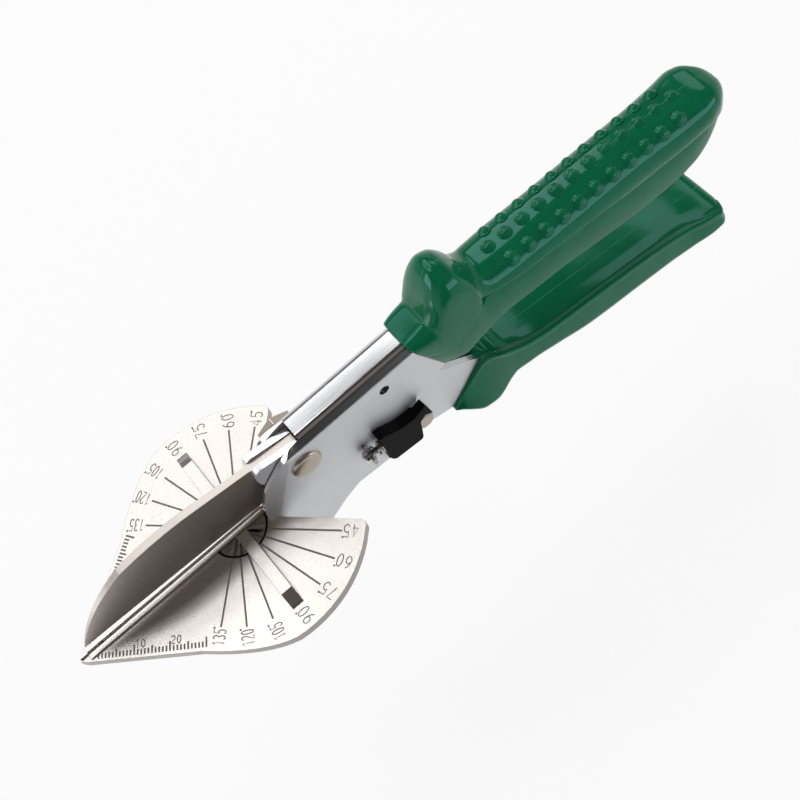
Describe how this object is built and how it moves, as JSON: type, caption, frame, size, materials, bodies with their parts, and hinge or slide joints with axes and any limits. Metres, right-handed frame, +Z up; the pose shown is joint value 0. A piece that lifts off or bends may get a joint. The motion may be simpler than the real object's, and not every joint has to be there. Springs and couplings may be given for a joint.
{
  "type": "mitre shears",
  "caption": "Hand shears with a flat blade closing on a protractor anvil with fences, crossing sheet steel levers, a sliding catch and moulded grips.",
  "frame": {"origin": "on the floor, at the centre of the flat foot, straight below the protractor's centre", "axes": "+X towards the handles, +Y towards the nut's side, +Z up, square to the anvil's face"},
  "size_m": [0.2247, 0.0706, 0.069],
  "materials": {
    "satin_nickel": "satin, bead blasted",
    "nickel_fastener": "warm satin nickel",
    "chromed_steel": "polished chrome",
    "zinc_steel": "bright zinc",
    "spring_steel": "drawn wire",
    "blade_steel": "ground",
    "green_grip": "glossy soft vinyl",
    "black_plastic": "fine matte"
  },
  "bodies": {
    "jaw_lever": {"anvil_plate": "satin_nickel", "anvil_rivets": "nickel_fastener", "outer_channel": "chromed_steel", "stop_pin": "zinc_steel", "upper_grip": "green_grip", "pivot_bolt": "nickel_fastener", "pivot_washer": "zinc_steel", "pivot_nut": "nickel_fastener", "latch_bracket": "zinc_steel", "latch_screw": "zinc_steel", "latch_spring": "spring_steel", "return_spring": "spring_steel", "spring_cap": "zinc_steel"},
    "blade_lever": {"inner_lever": "chromed_steel", "blade": "blade_steel", "blade_rivets": "nickel_fastener", "lower_grip": "green_grip", "catch_stud": "nickel_fastener", "spring_seat": "zinc_steel"},
    "latch": {"latch_slider": "black_plastic"}
  },
  "joints": [
    {"name": "lever_pivot", "type": "hinge", "parent": "jaw_lever", "child": "blade_lever", "pos_m": [0.0248, 0, 0.0423], "axis": [0, 1, 0], "range_deg": [-2.5, 25], "deforming": ["return_spring"]},
    {"name": "latch_slide", "type": "slide", "parent": "jaw_lever", "child": "latch", "axis": [1, 0, 0], "range_m": [0, 0.003], "deforming": ["latch_spring"]}
  ]
}
